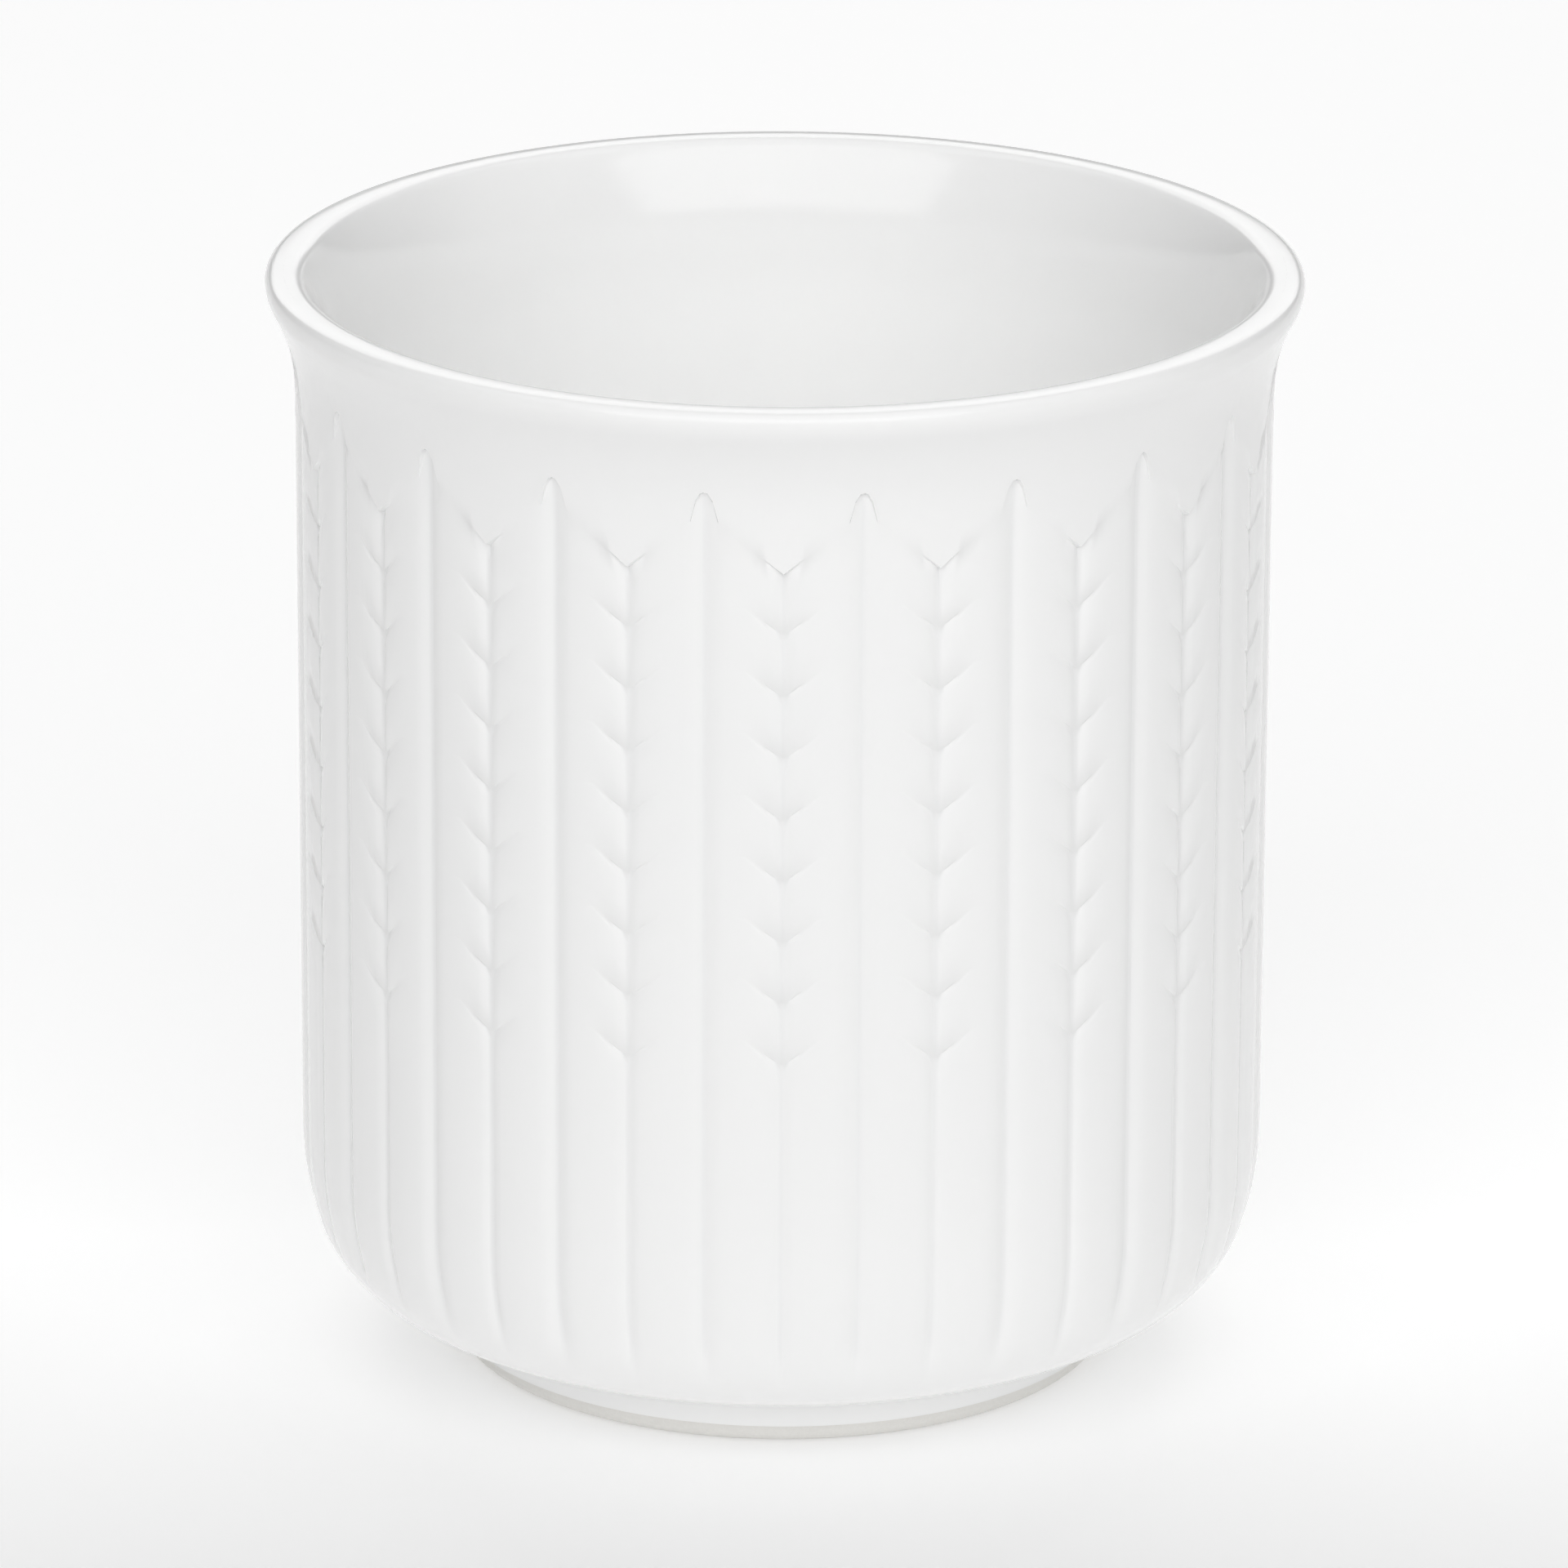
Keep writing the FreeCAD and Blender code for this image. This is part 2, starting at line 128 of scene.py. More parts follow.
class Pen:
    """Draws an outline by extruding and spinning the vertex that is selected."""

    def __init__(self, name, radius, height):
        bpy.ops.object.select_all(action="DESELECT")
        bpy.ops.object.add(type="MESH", enter_editmode=True)
        self.piece = bpy.context.object
        self.piece.name = name
        bpy.ops.mesh.select_mode(type="VERT")
        bpy.ops.mesh.primitive_plane_add(size=MM, location=at(radius, height))
        bpy.ops.mesh.merge(type="CENTER")
        self.place = Vector((radius, height))

    def line(self, radius, height, parts=1):
        """Extrudes to that radius and height in equal parts."""
        step = (Vector((radius, height)) - self.place) / parts
        for _ in range(parts):
            move = {"value": at(step.x, step.y)}
            bpy.ops.mesh.extrude_region_move(TRANSFORM_OT_translate=move)
        self.place = Vector((radius, height))

    def arc(self, centre, degrees, steps):
        """Spins about a centre, from the outside towards the top for a positive turn."""
        turn = math.radians(degrees)
        bpy.ops.mesh.spin(steps=steps, angle=turn, center=at(*centre), axis=(1, 0, 0))
        arm = self.place - centre
        self.place = centre + Vector((
            arm.x * math.cos(turn) - arm.y * math.sin(turn),
            arm.x * math.sin(turn) + arm.y * math.cos(turn),
        ))


# %% [markdown]
# ## The outline from the foot to the lip
#
# The glazed outline starts on the foot, a little above the ring that stays bare, turns out
# under the cup, round the belly, up the straight wall, out along the neck and over the lip to
# where the two coats meet on the crown. The straight wall gets a row of vertices wherever a
# cut of the pressed pattern will begin or end, so the pattern is planned first.

# %% Plan the pressed pattern
ears = 20
ear_width = math.tau * body_reach / ears
half_ear = ear_width / 2
barbs = 8
barb_pitch = 5.47 * MM
first_barb = 77.95 * MM
barb_tall = 1.3 * MM
barb_reach = 3.1 * MM
barb_slope = 0.8
barb_tip = 0.12 * MM
beyond_tip = 0.8 * MM
cut_wall = 0.22 * MM
fork_height = 83.25 * MM
fork_slope = 0.82
fork_tall = 1.7 * MM
fork_reach = 3.4 * MM
groove_top = 90.3 * MM
last_barb = first_barb - (barbs - 1) * barb_pitch
rest_height = 26.0 * MM
barb_bases = [first_barb - n * barb_pitch for n in range(barbs)]
print("barbs from", round(first_barb / MM, 1), "down to", round(last_barb / MM, 1), "mm")

# %% List the rows of the straight wall, at the stem
steps_down = (-cut_wall, 0.0, barb_tall / 2, barb_tall, 3.2 * MM)
barb_rows = [base - step for base in barb_bases for step in steps_down]
plain_rows = [23.0 * MM, rest_height, 29.5 * MM, 33.0 * MM, 36.5 * MM]
fork_rows = [fork_height + step for step in (-2 * fork_tall, -fork_tall, 0.0, cut_wall, fork_tall)]
wall_rows = sorted(plain_rows + barb_rows + fork_rows)
print(len(wall_rows), "rows on the straight wall")


# %% Draw the outline from the bare ring to the crown
def draw_glazed_outline(pen):
    """Draws foot, underside, belly, wall, neck and lip with the pen at the foot of the coat."""
    slope = math.radians(underside)
    heel_end = heel_centre + belly_tight * Vector((math.sin(slope), -math.cos(slope)))
    corner_height = heel_end.y - (heel_end.x - foot_reach) * math.tan(slope)
    fillet_run = foot_fillet * math.tan(math.radians(90.0 - underside) / 2)
    fillet_centre = Vector((foot_reach + foot_fillet, corner_height - fillet_run))
    pen.line(foot_reach, fillet_centre.y, 2)
    pen.arc(fillet_centre, underside - 90.0, 4)
    pen.line(heel_end.x, heel_end.y, 2)
    pen.arc(heel_centre, heel_turn, 10)
    pen.arc(belly_centre, belly_turn, 5)
    for height in wall_rows:
        pen.line(body_reach, height)
    pen.line(body_reach, neck_start)
    pen.arc(neck_centre, -neck_turn, 8)
    pen.arc(lip_centre, neck_turn, 4)
    pen.arc(lip_centre - Vector((lip_edge - lip_under, 0.0)), 90.0, 5)
    pen.line(coats_meet, cup_top)


panel_pen = Pen("wall_panel", foot_reach, bare_height)
draw_glazed_outline(panel_pen)
print("the outline ends at", [round(c / MM, 3) for c in panel_pen.place])

# %% [markdown]
# ## From the outline to one half of an ear
#
# The pattern repeats twenty times round the cup and each ear is the same on both sides of its
# stem. So only half of one ear is made, as a flat panel: the outline is extruded sideways,
# column by column, with the columns close together at the stem and at the plain groove.


# %% Extrude the outline sideways
def finish_editing():
    """Leaves edit mode."""
    bpy.ops.object.mode_set(mode="OBJECT")


columns = [0.36, 0.75, 1.2, 1.75, 2.4, 3.1, 4.1, 4.9, 5.5, 5.95, 6.34, half_ear / MM]


def widen(pen):
    """Extrudes the whole outline over the columns of half an ear."""
    bpy.ops.mesh.select_all(action="SELECT")
    reached = 0.0
    for column in columns:
        move = {"value": (column * MM - reached, 0.0, 0.0)}
        bpy.ops.mesh.extrude_region_move(TRANSFORM_OT_translate=move)
        reached = column * MM
    finish_editing()
    return pen.piece


panel = widen(panel_pen)
print(len(panel.data.polygons), "faces in half an ear")


# %% Slide the rows so that they follow the cuts
def neck_reach(height):
    """The radius of the neck at a height above its start."""
    return neck_centre.x - math.sqrt(neck_round**2 - (height - neck_centre.y) ** 2)


def barb_rise(across):
    """How far a barb has climbed at a distance from its stem."""
    return barb_slope * min(across, barb_reach)


def barb_gap(across):
    """How tall a barb is at a distance from its stem: it narrows to a tip."""
    share = 1.0 - across / barb_reach
    if share > 0.0:
        return barb_tip + (barb_tall - barb_tip) * share
    return barb_tip - share * beyond_tip


arch_half = 1.18 * MM
arch_fall = 2.6 * MM
arch_round = 2.4


def cut_rise(across):
    """How far the upper end of the cuts lies above the fork, from stem to plain groove."""
    aside = max(half_ear - across, 0.0)
    shoulder = groove_top - arch_fall - fork_height
    middle = half_ear / 2
    if across < middle:
        return fork_slope * across
    if aside > arch_half:
        share = (across - middle) / (middle - arch_half)
        return fork_slope * middle + (shoulder - fork_slope * middle) * share
    return shoulder + arch_fall * (1.0 - (aside / arch_half) ** arch_round)


def barb_beside(height):
    """The height of the barb whose stretch of wall holds this height, at the stem."""
    passed = math.floor((first_barb + 2 * cut_wall - height) / barb_pitch)
    return first_barb - passed * barb_pitch


def slid(across, height):
    """The height to which a row slides at a distance from the stem."""
    fork_top = fork_height + cut_wall
    if height <= rest_height or height >= neck_end:
        return height
    if height > fork_top:
        return height + cut_rise(across) * (neck_end - height) / (neck_end - fork_top)
    if height >= fork_height:
        return height + cut_rise(across)
    barb_top = first_barb + cut_wall
    if height > barb_top:
        share = (height - barb_top) / (fork_height - barb_top)
        return height + barb_rise(across) * (1.0 - share) + cut_rise(across) * share
    lowest = last_barb - steps_down[-1]
    if height < lowest:
        return height + barb_rise(across) * (height - rest_height) / (lowest - rest_height)
    base = barb_beside(height)
    down = np.interp(
        base - height,
        (-cut_wall, 0.0, barb_tall, barb_pitch - cut_wall),
        (-cut_wall, 0.0, barb_gap(across), barb_pitch - cut_wall),
    )
    return base + barb_rise(across) - down


def slide_rows(piece):
    """Slides every row, and sets what has come onto the neck back onto its curve."""
    for vertex in piece.data.vertices:
        place = vertex.co
        if -place.y < wall_inside or place.z < belly_top:
            continue
        place.z = slid(place.x, place.z)
        if neck_start < place.z < neck_end - cut_wall:
            place.y = -neck_reach(place.z)


slide_rows(panel)
print("the cuts reach up to", round((fork_height + cut_rise(half_ear)) / MM, 2), "mm")

# %% [markdown]
# ## Pressing the pattern in
#
# In the mould each ear was cut with a gouge: a stem and a plain groove between low rounded
# ribs, a row of small barbs that are steep on their upper side and run out softly below, and a
# fork of two short arms where the stem ends. By hand this is painted as a vertex group and
# pushed in by a Displace modifier. The paint is a formula here, so that every ear gets the same
# cut, and the two sides of the panel are set straight again so that the ears meet.

# %% Say how deep the cut is at each place
press_depth = 0.9 * MM
rib_sag = 0.22 * MM
stem_half = 0.8 * MM
stem_depth = 0.22 * MM
groove_half = 1.25 * MM
groove_depth = 0.27 * MM
barb_depth = 0.25 * MM
fork_depth = 0.2 * MM
fade_out = 9.6 * MM
fade_full = 13.6 * MM


def ease(share):
    """Turns a straight run from nought to one into a soft one."""
    share = min(max(share, 0.0), 1.0)
    return share * share * (3.0 - 2.0 * share)


def rib(across):
    """The depth below the crest of a rounded rib, from the narrow stem to the wider groove."""
    middle = half_ear / 2
    bow = rib_sag * ((across - middle) / middle) ** 2
    stem = stem_depth * max(0.0, 1.0 - across / stem_half)
    groove = groove_depth * max(0.0, 1.0 - (half_ear - across) / groove_half)
    return bow + stem + groove


def barb(across, height):
    """The extra depth of the barb that holds this place, if any."""
    if across > barb_reach:
        return 0.0
    for base in barb_bases:
        above = height - base - barb_rise(across)
        gap = barb_gap(across)
        if -gap <= above <= cut_wall:
            fall = 1.0 + above / gap if above <= 0.0 else 1.0 - above / cut_wall
            swell = min(across / (stem_half / 2), 1.0)
            return barb_depth * swell * (1.0 - across / barb_reach) * fall
    return 0.0


def fork(across, below):
    """The extra depth under the two arms of the fork that ends the stem."""
    if across > fork_reach or not 0.0 <= below <= fork_tall:
        return 0.0
    return fork_depth * (1.0 - across / fork_reach) ** 0.5 * (1.0 - below / fork_tall)


def pressed(across, height):
    """The depth of the whole pattern at a place on the flat panel."""
    above = height - fork_height - cut_rise(across)
    end = 1.0 - min(max(above / cut_wall, 0.0), 1.0)
    fade = ease((height - fade_out) / (fade_full - fade_out))
    return (rib(across) + barb(across, height) + fork(across, max(-above, 0.0))) * end * fade


for place, across in (("stem", 0.0), ("rib", half_ear / 2), ("plain groove", half_ear)):
    print(place, round(pressed(across, rest_height) / MM, 2), "mm deep")

# %% Paint the depth and push it in
def press(piece):
    """Paints the depth of the pattern on the wall of the panel."""
    paint = piece.vertex_groups.new(name="pressed")
    for vertex in piece.data.vertices:
        depth = pressed(abs(vertex.co.x), vertex.co.z)
        if depth > 0.0 and -vertex.co.y > wall_inside:
            paint.add([vertex.index], depth / press_depth, "REPLACE")


def select_only(piece):
    """Selects the piece alone and makes it the active one."""
    bpy.ops.object.select_all(action="DESELECT")
    piece.select_set(True)
    bpy.context.view_layer.objects.active = piece


def apply_modifier(piece, kind, **settings):
    """Adds a modifier with these settings to the piece and applies it."""
    select_only(piece)
    modifier = piece.modifiers.new(kind.lower(), kind)
    for name, value in settings.items():
        setattr(modifier, name, value)
    bpy.ops.object.modifier_apply(modifier=modifier.name)


def straighten_sides(piece):
    """Sets the two sides of the panel back on their lines, so that the ears meet exactly."""
    for vertex in piece.data.vertices:
        for side in (0.0, half_ear):
            if abs(vertex.co.x - side) < cut_wall:
                vertex.co.x = side


def face_outwards(piece):
    """Turns an open panel so that its wall faces the front."""
    if sum(face.normal.y * face.area for face in piece.data.polygons) > 0.0:
        piece.data.flip_normals()


face_outwards(panel)
press(panel)
apply_modifier(
    panel, "DISPLACE", direction="NORMAL", strength=-press_depth, mid_level=0.0,
    vertex_group="pressed",
)
straighten_sides(panel)
deepest = max(vertex.co.y for vertex in panel.data.vertices if abs(vertex.co.z - rest_height) < MM)
print("deepest cut", round((deepest + body_reach) / MM, 3), "mm")

# %% [markdown]
# ## Round the cup
#
# Half an ear becomes a whole one with Mirror, twenty ears become a band with Array, and a
# Simple Deform bend of a full turn rolls the band into a ring. The bend turns about a line one
# radius behind the band, so the band is first set with its wall on the zero line.


# %% Mirror, repeat and roll the panel
def edit_all(piece):
    """Opens the piece for editing with all of it selected."""
    select_only(piece)
    bpy.ops.object.mode_set(mode="EDIT")
    bpy.ops.mesh.select_all(action="SELECT")


def merge_doubles(piece, distance):
    """Merges vertices that lie closer together than the distance."""
    edit_all(piece)
    bpy.ops.mesh.remove_doubles(threshold=distance)
    finish_editing()


def roll_up(piece):
    """Makes the ring of ears from half an ear."""
    weld = 0.001 * MM
    apply_modifier(piece, "MIRROR", use_axis=(True, False, False), merge_threshold=weld)
    apply_modifier(
        piece, "ARRAY", count=ears, use_relative_offset=False, use_constant_offset=True,
        constant_offset_displace=(ear_width, 0.0, 0.0), use_merge_vertices=True, merge_threshold=weld,
    )
    edit_all(piece)
    bpy.ops.transform.translate(value=(0.0, body_reach, 0.0))
    finish_editing()
    apply_modifier(piece, "SIMPLE_DEFORM", deform_method="BEND", deform_axis="Z", angle=math.tau)
    edit_all(piece)
    bpy.ops.transform.translate(value=(0.0, -body_reach, 0.0))
    bpy.ops.mesh.remove_doubles(threshold=5 * weld)
    finish_editing()
    return piece


roll_up(panel)
ring_size = [round(side / MM, 2) for side in panel.dimensions]
print("the ring has", len(panel.data.vertices), "vertices and measures", ring_size, "mm")

# %% [markdown]
# ## The coat of glaze outside
#
# The glaze is a clear skin a quarter of a millimetre thick over white clay. The rolled ring is
# its outer face, so Solidify gives it an inner face and closes its two ends. Its edge near the
# foot is where the potter wiped the glaze away before firing.

# %% Thicken the outer coat
outer_coat = panel
outer_coat.name = "outer_glaze_coat"
select_only(outer_coat)
bpy.ops.object.duplicate()
clay_skin = bpy.context.object
clay_skin.name = "clay_skin"
apply_modifier(outer_coat, "SOLIDIFY", thickness=coat, offset=-1.0, use_rim=True)
print("outer coat:", len(outer_coat.data.polygons), "faces")


# %% Shade a piece smooth but keep its edges
crease = 50.0


def shade(piece):
    """Shades the piece smooth except where two faces meet at more than the crease angle."""
    select_only(piece)
    bpy.ops.object.shade_smooth_by_angle(angle=math.radians(crease))


shade(outer_coat)
print("edges over", crease, "degrees stay sharp")

# %% [markdown]
# ## The coat of glaze inside
#
# Inside, the cup is plain turned ware: crown, rounded inner edge, flared neck, straight wall,
# and a floor that rises a little from its corner to where the wall starts. It is one outline
# spun about the middle of the cup. The outline ends on the axis, so merging closes the pole.


# %% Draw and spin the inside
turned_weld = 0.005 * MM


def spin_about_axis(pen, steps):
    """Spins the whole outline once round the cup and closes the seam and the poles."""
    bpy.ops.mesh.select_all(action="SELECT")
    bpy.ops.mesh.spin(steps=steps, angle=math.tau, center=(0, 0, 0), axis=(0, 0, 1))
    bpy.ops.mesh.select_all(action="SELECT")
    bpy.ops.mesh.remove_doubles(threshold=turned_weld)
    finish_editing()
    return pen.piece


def draw_inside(pen, inset):
    """Draws crown, inner edge, neck, wall and floor, from the crown to the axis."""
    flare = neck_round + body_reach - wall_inside
    edge_drop = cup_top - lip_inside - neck_start
    edge_arm = math.sqrt((flare - lip_inside) ** 2 - edge_drop**2)
    edge_centre = Vector((neck_centre.x - edge_arm, cup_top - lip_inside))
    inner_turn = math.degrees(math.atan2(edge_drop, edge_arm))
    pen.line(edge_centre.x, cup_top - inset)
    pen.arc(edge_centre, 90.0 - inner_turn, 6)
    pen.arc(neck_centre, inner_turn, 8)
    pen.line(wall_inside + inset, belly_top, 8)
    pen.arc(belly_centre, -belly_turn, 6)
    pen.arc(heel_centre, -heel_turn, 10)
    run = (pen.place.y - inner_floor + inset) / math.tan(math.radians(underside))
    pen.line(pen.place.x - run, inner_floor - inset, 2)
    pen.line(0.0, inner_floor - inset, 6)


around = 220
inside_pen = Pen("inner_glaze_coat", coats_meet, cup_top)
draw_inside(inside_pen, 0.0)
inner_coat = spin_about_axis(inside_pen, around)
print("the inside ends at", [round(c / MM, 3) for c in inside_pen.place])


# %% Give a turned coat its thickness on the clay's side
def thicken_coat(piece, up):
    """Turns the coat's shown face the right way, given which way its flat part looks."""
    edit_all(piece)
    bpy.ops.mesh.normals_make_consistent(inside=False)
    finish_editing()
    if sum(face.normal.z * face.area for face in piece.data.polygons) * up < 0.0:
        piece.data.flip_normals()
    apply_modifier(piece, "SOLIDIFY", thickness=coat, offset=-1.0, use_rim=True)
    shade(piece)
    return piece


thicken_coat(inner_coat, 1.0)
print("inside coat:", len(inner_coat.data.polygons), "faces")

# %% [markdown]
# ## The coat of glaze under the foot
#
# The hollow inside the foot ring is glazed as well: a shallow dish that looks down, with a
# rounded corner. It is spun in the same way from a short outline.

# %% Draw and spin the hollow
recess_pen = Pen("recess_glaze_coat", recess_reach, bare_height)
recess_pen.line(recess_reach, recess_roof - recess_corner, 2)
recess_pen.arc(Vector((recess_reach - recess_corner, recess_roof - recess_corner)), 90.0, 6)
recess_pen.line(0.0, recess_roof, 5)
recess_coat = thicken_coat(spin_about_axis(recess_pen, around), -1.0)
print("hollow coat:", len(recess_coat.data.polygons), "faces")

# %% [markdown]
# ## The porcelain itself
#
# Under the coats lies the pressed clay. Its outer face is the ring of ears moved in by one
# coat, its inner face and its foot are drawn with the same pen and rolled with the same
# columns, so that the three shells meet vertex to vertex and merge into one closed body.

# %% Move the ring of ears in by one coat
apply_modifier(clay_skin, "DISPLACE", direction="NORMAL", strength=-coat, mid_level=0.0)

# %% Draw and roll the inside and the foot of the clay
clay_inside_pen = Pen("clay_inside", coats_meet, cup_top - coat)
draw_inside(clay_inside_pen, coat)
clay_inside = roll_up(widen(clay_inside_pen))


def draw_foot(pen):
    """Draws the bare ring that the cup stands on and the hollow's roof, from the outer coat's end."""
    reach = foot_reach - coat
    hollow = recess_reach + coat
    roof = recess_roof + coat
    corner = recess_corner + coat
    pen.line(reach, foot_round)
    pen.arc(Vector((reach - foot_round, foot_round)), -90.0, 8)
    pen.line(hollow + foot_inner_round, 0.0)
    pen.arc(Vector((hollow + foot_inner_round, foot_inner_round)), -90.0, 5)
    pen.line(hollow, roof - corner)
    pen.arc(Vector((hollow - corner, roof - corner)), 90.0, 5)
    pen.line(0.0, roof, 5)


foot_pen = Pen("clay_foot", foot_reach - coat, bare_height)
draw_foot(foot_pen)
clay_foot = roll_up(widen(foot_pen))
print("clay shells:", [len(shell.data.polygons) for shell in (clay_skin, clay_inside, clay_foot)])

# %% Join the clay
shell_weld = 0.004 * MM
bpy.ops.object.select_all(action="DESELECT")
for shell in (clay_inside, clay_foot, clay_skin):
    shell.select_set(True)
bpy.context.view_layer.objects.active = clay_skin
bpy.ops.object.join()
clay = bpy.context.object
clay.name = "pressed_porcelain"
merge_doubles(clay, shell_weld)
edit_all(clay)
bpy.ops.mesh.normals_make_consistent(inside=False)
bpy.ops.mesh.select_all(action="DESELECT")
bpy.ops.mesh.select_non_manifold()
finish_editing()
open_places = sum(vertex.select for vertex in clay.data.vertices)
shade(clay)
print("clay:", len(clay.data.polygons), "faces,", open_places, "open places")

# %% [markdown]
# ## The white glaze
#
# Fired glaze is smooth and glossy, and white because of the clay below it. It pools a little in
# the cuts, and there its colour is painted cooler and darker: partly the thicker glaze, partly
# painted shade in the cuts. Its surface is never quite flat: it has a very shallow ripple. The
# pooled glaze and painted shade are read from an attribute that the pressing left on the mesh,
# and the ripple comes from noise on Object coordinates.


# %% Mix the white glaze
def new_material(name):
    """A new material with its nodes and links."""
    material = bpy.data.materials.new(name)
    material.use_nodes = True
    return material, material.node_tree.nodes, material.node_tree.links


def noise(nodes, links, scale, detail):
    """A noise texture on Object coordinates."""
    place = nodes.new("ShaderNodeTexCoord")
    texture = nodes.new("ShaderNodeTexNoise")
    texture.inputs["Scale"].default_value = scale
    texture.inputs["Detail"].default_value = detail
    links.new(place.outputs["Object"], texture.inputs["Vector"])
    return texture.outputs["Fac"]


def ramp(nodes, links, value, source, target):
    """Maps a value from one range onto another and keeps it inside."""
    ranged = nodes.new("ShaderNodeMapRange")
    for name, number in zip(("From Min", "From Max", "To Min", "To Max"), (*source, *target)):
        ranged.inputs[name].default_value = number
    links.new(value, ranged.inputs["Value"])
    return ranged.outputs["Result"]


def blend_colours(nodes, links, factor, first, second):
    """Blends two colours, each given as numbers or as another node's output."""
    mixed = nodes.new("ShaderNodeMix")
    mixed.data_type = "RGBA"
    for socket, colour in ((6, first), (7, second)):
        if isinstance(colour, tuple):
            mixed.inputs[socket].default_value = (*colour, 1.0)
        else:
            links.new(colour, mixed.inputs[socket])
    links.new(factor, mixed.inputs[0])
    return mixed.outputs[2]


def ripple(nodes, links, height, depth, strength):
    """Turns a height into a shallow unevenness of the surface."""
    bump = nodes.new("ShaderNodeBump")
    bump.inputs["Strength"].default_value = strength
    bump.inputs["Distance"].default_value = depth
    links.new(height, bump.inputs["Height"])
    return bump.outputs["Normal"]


glaze_white = (0.982, 0.982, 0.978)
# The colour of pooled glaze and of painted shade in the cuts
glaze_pooled_and_shaded = (0.936, 0.94, 0.94)
glaze_cloud = (0.97, 0.972, 0.97)


def white_glaze():
    """Glossy white, greyed where the cuts are deepest by pooled glaze and painted shade."""
    material, nodes, links = new_material("white_glaze")
    surface = nodes["Principled BSDF"]
    pool_and_shade = nodes.new("ShaderNodeAttribute")
    pool_and_shade.attribute_name = "pool_and_shade"
    clouds = noise(nodes, links, scale=60.0, detail=3.0)
    body = blend_colours(nodes, links, clouds, glaze_white, glaze_cloud)
    # Painted shade: the deepest cuts turn to the greyer colour
    deep_shade = ramp(nodes, links, pool_and_shade.outputs["Fac"], (0.35, 0.72), (0.0, 1.0))
    colour = blend_colours(nodes, links, deep_shade, body, glaze_pooled_and_shaded)
    links.new(colour, surface.inputs["Base Color"])
    fine = noise(nodes, links, scale=900.0, detail=2.0)
    links.new(ramp(nodes, links, fine, (0.0, 1.0), (0.1, 0.18)), surface.inputs["Roughness"])
    surface.inputs["IOR"].default_value = 1.5
    surface.inputs["Specular IOR Level"].default_value = 0.42
    wave = noise(nodes, links, scale=160.0, detail=2.0)
    waved = ripple(nodes, links, wave, depth=0.02 * MM, strength=0.3)
    links.new(waved, surface.inputs["Normal"])
    print(material.name, "mixed with", len(nodes), "nodes")
    return material


# %% [markdown]
# ## The bare porcelain
#
# Where there is no glaze, on the ring, porcelain is dull, a little warmer and finely grained,
# and it greys where it rubs on a desk.

# %% Mix the bare porcelain
bare_white = (0.86, 0.85, 0.82)
bare_grain = (0.79, 0.78, 0.75)
bare_worn = (0.62, 0.61, 0.59)
worn_height = 0.3 * MM


def bare_porcelain():
    """Dull and finely grained, greyed on the lowest part of the ring."""
    material, nodes, links = new_material("bare_porcelain")
    surface = nodes["Principled BSDF"]
    grain = noise(nodes, links, scale=4000.0, detail=3.0)
    body = blend_colours(nodes, links, grain, bare_white, bare_grain)
    place = nodes.new("ShaderNodeTexCoord")
    height = nodes.new("ShaderNodeSeparateXYZ")
    links.new(place.outputs["Object"], height.inputs[0])
    low = ramp(nodes, links, height.outputs["Z"], (worn_height, 0.0), (0.0, 1.0))
    rub = nodes.new("ShaderNodeMath")
    rub.operation = "MULTIPLY"
    links.new(low, rub.inputs[0])
    links.new(noise(nodes, links, scale=500.0, detail=4.0), rub.inputs[1])
    colour = blend_colours(nodes, links, rub.outputs[0], body, bare_worn)
    links.new(colour, surface.inputs["Base Color"])
    surface.inputs["Roughness"].default_value = 0.75
    tooth = ripple(nodes, links, grain, depth=0.02 * MM, strength=0.5)
    links.new(tooth, surface.inputs["Normal"])
    print(material.name, "mixed with", len(nodes), "nodes")
    return material


# %% Put the finishes on, and hand the pieces to the frame
glaze = white_glaze()
bare = bare_porcelain()


def keep_pool_and_shade(piece):
    """Copies the painted depth to the attribute from which the glaze paints pooled glaze and shade in
    the cuts.
    """
    group = piece.vertex_groups.get("pressed")
    pool_and_shade = piece.data.attributes.new("pool_and_shade", "FLOAT", "POINT")
    for vertex in piece.data.vertices:
        for paint in vertex.groups:
            if group is not None and paint.group == group.index:
                pool_and_shade.data[vertex.index].value = paint.weight


def hand_over(piece, material, node):
    """Puts the finish on, and says what the piece rides, replaces and shows."""
    piece.data.materials.clear()
    piece.data.materials.append(material)
    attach(piece, "root")
    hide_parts(node)
    triangles = sum(len(face.vertices) - 2 for face in piece.data.polygons)
    print(piece.name, "stands for", node, "with", triangles, "triangles")


# The pressed depth goes on the outer coat as the attribute for the painted shade in the cuts
keep_pool_and_shade(outer_coat)
hand_over(outer_coat, glaze, "outer_glaze")
hand_over(inner_coat, glaze, "inner_glaze")
hand_over(recess_coat, glaze, "recess_glaze")
hand_over(clay, bare, "porcelain_body")

# %% [markdown]
# ## The table, the light and the camera
#
# A white cup shows its shape only by soft shade, so the light is set with care. The table is
# white and glows a little, more behind the cup than before it, which keeps the ground pale
# without lifting the shade under the wall. Its edge is turned up far away as a low backdrop.

# %% Lay the table
table_size = 12.0
table_rim = 0.6
glow_before = 0.04
glow_behind = 0.37
glow_far = 0.5


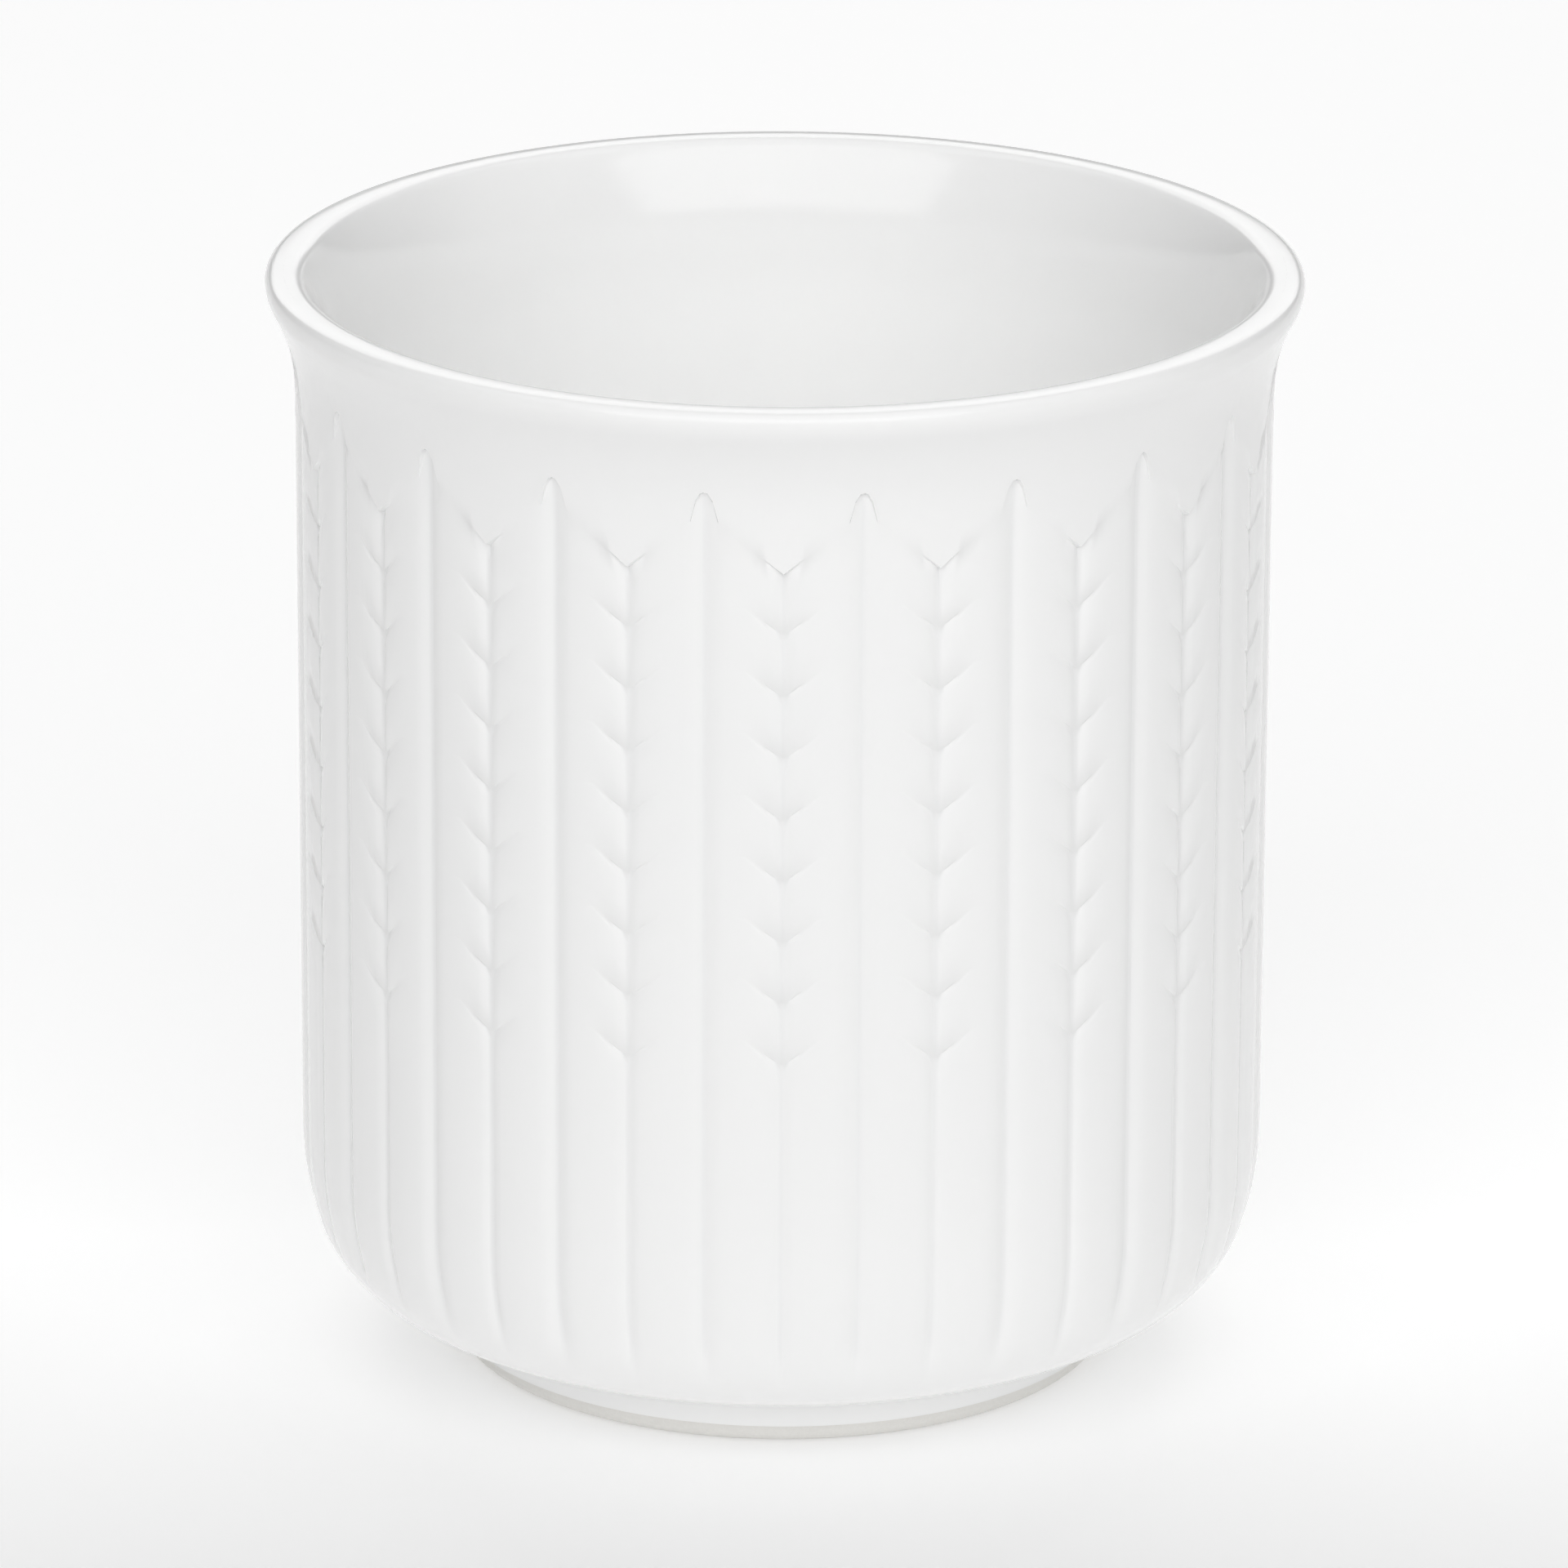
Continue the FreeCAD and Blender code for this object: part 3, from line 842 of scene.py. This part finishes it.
def table_white():
    """Matt white that glows: little before the cup, more behind it and most far away."""
    material, nodes, links = new_material("table_white")
    surface = nodes["Principled BSDF"]
    surface.inputs["Base Color"].default_value = (0.8, 0.8, 0.8, 1.0)
    surface.inputs["Roughness"].default_value = 0.9
    surface.inputs["Emission Color"].default_value = (1.0, 1.0, 1.0, 1.0)
    place = nodes.new("ShaderNodeTexCoord")
    parted = nodes.new("ShaderNodeSeparateXYZ")
    links.new(place.outputs["Object"], parted.inputs[0])
    distance = nodes.new("ShaderNodeVectorMath")
    distance.operation = "LENGTH"
    links.new(place.outputs["Object"], distance.inputs[0])
    near_glow = ramp(nodes, links, parted.outputs["Y"], (-0.12, 0.02), (glow_before, glow_behind))
    both = nodes.new("ShaderNodeMix")
    far_share = ramp(nodes, links, distance.outputs["Value"], (0.6, 2.0), (0.0, 1.0))
    links.new(far_share, both.inputs[0])
    links.new(near_glow, both.inputs[2])
    both.inputs[3].default_value = glow_far
    links.new(both.outputs[0], surface.inputs["Emission Strength"])
    return material


def lay_table():
    """A wide white table whose edge is turned up into a low backdrop all round."""
    bpy.ops.object.select_all(action="DESELECT")
    bpy.ops.mesh.primitive_grid_add(
        x_subdivisions=8, y_subdivisions=8, size=table_size, enter_editmode=True,
    )
    table = bpy.context.object
    table.name = "table_top"
    bpy.ops.mesh.region_to_loop()
    bpy.ops.mesh.extrude_region_move(TRANSFORM_OT_translate={"value": (0.0, 0.0, table_rim)})
    finish_editing()
    table.data.materials.append(table_white())
    print(table.name, "is", table_size, "m wide, with a rim", table_rim, "m high")


lay_table()

# %% [markdown]
# Four soft panels light the cup: a broad one in front gives most of the light, and panels above,
# behind and to the right fill in. They can't reach far into a deep cup, so a narrow spot straight
# above the mouth lights its floor, and the white walls pass that light on.

# %% Hang the lights
middle = Vector((0.0, 0.0, cup_top / 2))


def soft_panel(name, size, power, place):
    """A rectangular soft light at a place, turned to the middle of the cup."""
    bpy.ops.object.light_add(type="AREA", location=place)
    lamp = bpy.context.object
    lamp.name = name
    lamp.data.shape = "RECTANGLE"
    lamp.data.size, lamp.data.size_y = size
    lamp.data.energy = power
    lamp.rotation_euler = (middle - Vector(place)).to_track_quat("-Z", "Y").to_euler()
    print(name, "gives", power, "W")


def mouth_spot(power, height):
    """A narrow soft spot above the cup that lights only its inside."""
    bpy.ops.object.light_add(type="SPOT", location=(0.0, 0.0, height))
    lamp = bpy.context.object
    lamp.name = "mouth_spot"
    lamp.data.energy = power
    lamp.data.spot_size = 2.0 * math.atan(0.92 * wall_inside / (height - cup_top))
    lamp.data.spot_blend = 0.5
    lamp.data.shadow_soft_size = 0.01
    print(lamp.name, "gives", power, "W")


soft_panel("top_panel", size=(1.6, 1.6), power=7.4, place=(0.0, 0.0, 1.2))
soft_panel("front_panel", size=(2.4, 1.2), power=18.5, place=(0.0, -1.34, 0.92))
soft_panel("back_panel", size=(1.4, 0.8), power=6.0, place=(0.0, 1.25, 0.8))
soft_panel("side_panel", size=(0.8, 1.2), power=1.0, place=(1.3, -0.3, 0.65))
mouth_spot(power=20.0, height=0.9)
world = bpy.data.worlds.new("room")
world.use_nodes = True
room_light = world.node_tree.nodes["Background"]
room_light.inputs["Color"].default_value = (1.0, 1.0, 1.0, 1.0)
room_light.inputs["Strength"].default_value = 0.02
bpy.context.scene.world = world

# %% Set the camera
camera_distance = 0.945
camera_rise = 18.83
camera_roll = 0.25
camera_lens = 246.5
camera_shift = (0.0008, 0.0114)
bpy.ops.object.camera_add()
camera = bpy.context.object
camera.name = "camera"
lift = math.radians(camera_rise)
away = Vector((0.0, -math.cos(lift), math.sin(lift)))
camera.location = middle + camera_distance * away
looking = Euler((math.radians(90.0 - camera_rise), 0.0, 0.0)).to_quaternion()
rolled = looking @ Quaternion((0.0, 0.0, 1.0), math.radians(camera_roll))
camera.rotation_euler = rolled.to_euler()
camera.data.lens = camera_lens
camera.data.sensor_width = 36.0
camera.data.shift_x, camera.data.shift_y = camera_shift
camera.data.clip_end = 50.0
bpy.context.scene.camera = camera
bpy.context.scene.view_settings.view_transform = "Standard"
print("camera at", [round(c, 3) for c in camera.location], "m")
